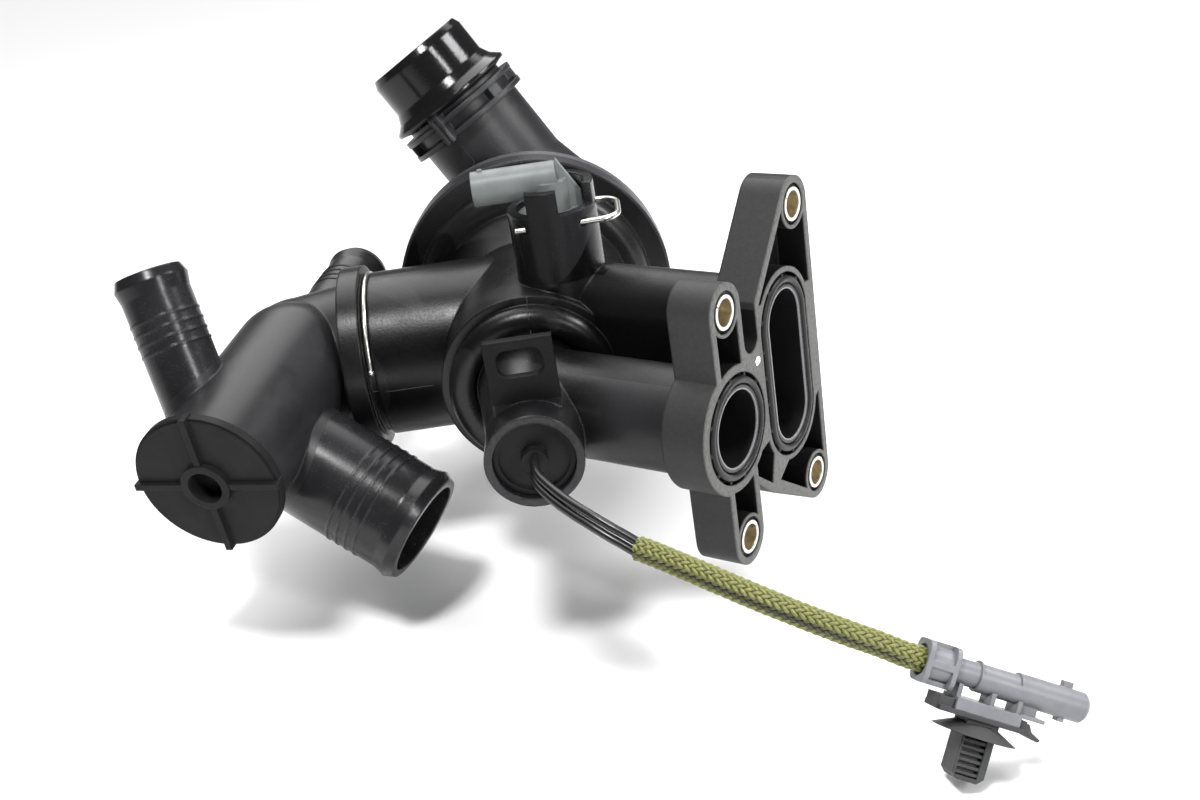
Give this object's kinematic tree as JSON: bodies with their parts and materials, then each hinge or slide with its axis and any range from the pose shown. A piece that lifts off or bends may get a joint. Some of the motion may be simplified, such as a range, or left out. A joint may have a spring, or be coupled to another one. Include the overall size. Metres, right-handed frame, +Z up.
{
  "type": "engine coolant valve housing",
  "caption": "Moulded engine coolant housing with a bolted two-port flange, a heated wax valve, a hose neck, a plug-in hose distributor, a temperature sensor and a sleeved lead.",
  "frame": {"origin": "middle between the two front bolts, which is the middle of the round port on the flange's sealing face", "axes": "+X out of the flange towards the engine, +Y from the front bolts to the rear bolts, +Z up"},
  "size_m": [0.2693, 0.1945, 0.1436],
  "materials": {
    "body_plastic": "satin moulded, glass-filled",
    "cover_plastic": "satin moulded, glass-filled",
    "distributor_plastic": "satin moulded, glass-filled",
    "sensor_plastic": "satin moulded",
    "connector_plastic": "satin moulded",
    "clip_plastic": "matte moulded",
    "plug_plastic": "satin moulded",
    "seal_rubber": "matte moulded rubber",
    "wire_cover": "smooth insulation",
    "sleeve_braid": "woven braid",
    "spring_steel": "drawn wire",
    "bush_steel": "rolled strip with a passivated coat",
    "pressed_steel": "pressed sheet",
    "brass": "turned"
  },
  "bodies": {
    "housing_body": {"housing": "body_plastic", "outlet_cover": "cover_plastic", "distributor": "distributor_plastic", "distributor_cap": "distributor_plastic", "distributor_clip": "spring_steel", "distributor_o_ring": "seal_rubber", "sensor_body": "sensor_plastic", "sensor_pins": "pressed_steel", "sensor_probe": "brass", "sensor_o_ring": "seal_rubber", "sensor_clip": "spring_steel", "heater_plug": "plug_plastic", "plug_o_ring": "seal_rubber", "guide_pin": "pressed_steel", "main_spring": "spring_steel", "valve_bridge": "pressed_steel", "bolt_bushings": "bush_steel", "port_seal": "seal_rubber", "slot_seal": "seal_rubber", "heater_wire_a": "wire_cover", "heater_wire_b": "wire_cover", "braided_sleeve": "sleeve_braid", "lead_connector": "connector_plastic", "lead_pins": "pressed_steel", "lead_clip": "clip_plastic"},
    "valve_body": {"wax_capsule": "brass", "main_valve": "pressed_steel", "valve_seal": "seal_rubber", "bypass_valve": "pressed_steel", "bypass_spring": "spring_steel", "bypass_ring": "spring_steel"}
  },
  "joints": [
    {"name": "valve_stroke", "type": "slide", "parent": "housing_body", "child": "valve_body", "axis": [-0.5736, 0.8192, 0], "range_m": [0, 0.008], "stiffness_N_per_m": 6000, "springref_m": -0.01, "deforming": ["main_spring"]}
  ]
}
